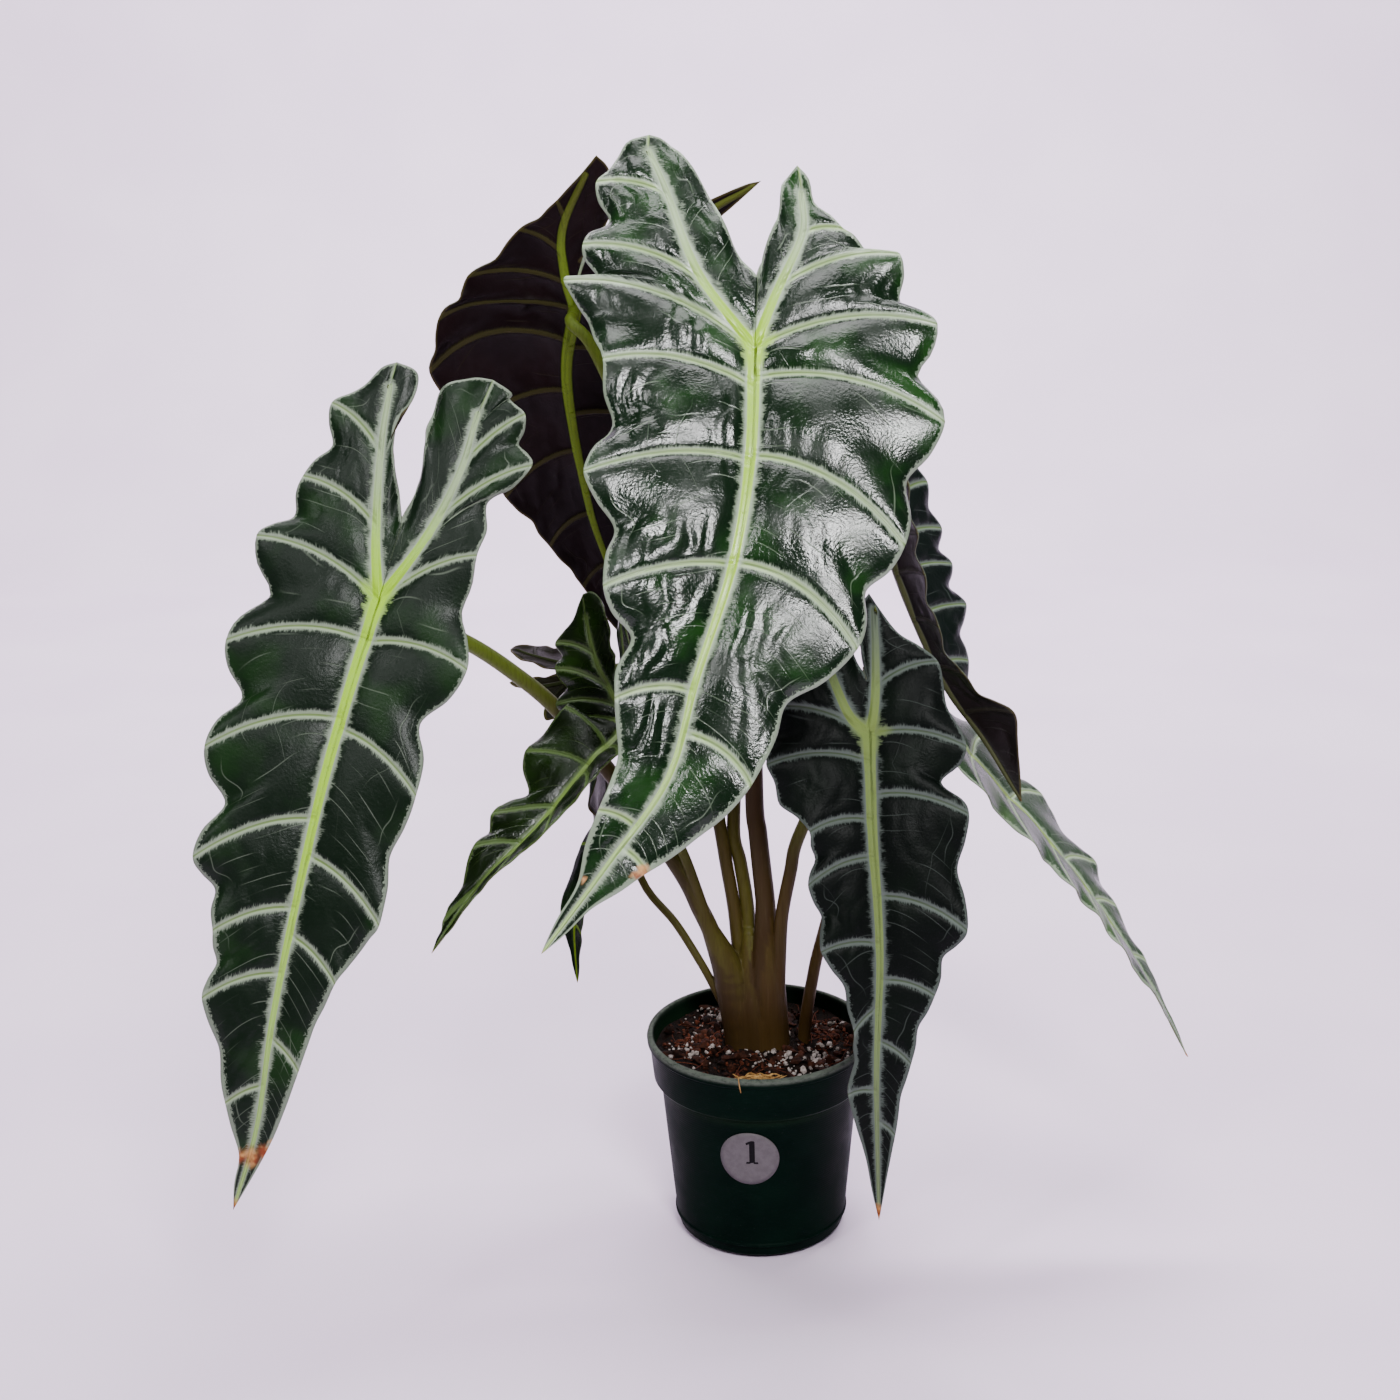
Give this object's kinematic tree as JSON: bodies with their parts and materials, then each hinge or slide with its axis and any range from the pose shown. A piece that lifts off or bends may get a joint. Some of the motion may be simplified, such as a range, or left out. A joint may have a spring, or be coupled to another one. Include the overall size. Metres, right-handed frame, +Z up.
{
  "type": "potted polly alocasia",
  "caption": "Houseplant with dark, waved, arrow-shaped leaves and pale veins on long arching stems, standing in a round nursery pot of bark mix.",
  "frame": {"origin": "centre of the pot's flat bottom, on the surface that it stands on", "axes": "+Z up along the pot's axis; -Y towards the front, where the label is and the two largest leaves hang; +X to the right as seen from the front"},
  "size_m": [0.4349, 0.2948, 0.515],
  "materials": {
    "leaf": "glossy dark green blade with pale grey-green veins and margin, and a maroon underside",
    "stem": "satin, brown at the foot and olive green above",
    "soil": "matt loose bark and coir with white grains",
    "pot": "satin dark green with a scuffed rim",
    "label": "smooth pale round sticker with a dark plain numeral"
  },
  "bodies": {
    "root": {"leaf_a": "leaf", "leaf_b": "leaf", "leaf_c": "leaf", "leaf_d": "leaf", "leaf_e": "leaf", "leaf_f": "leaf", "leaf_g": "leaf", "leaf_h": "leaf", "stems": "stem", "stem_h": "stem", "soil": "soil", "pot": "pot", "number_label": "label"}
  },
  "joints": []
}
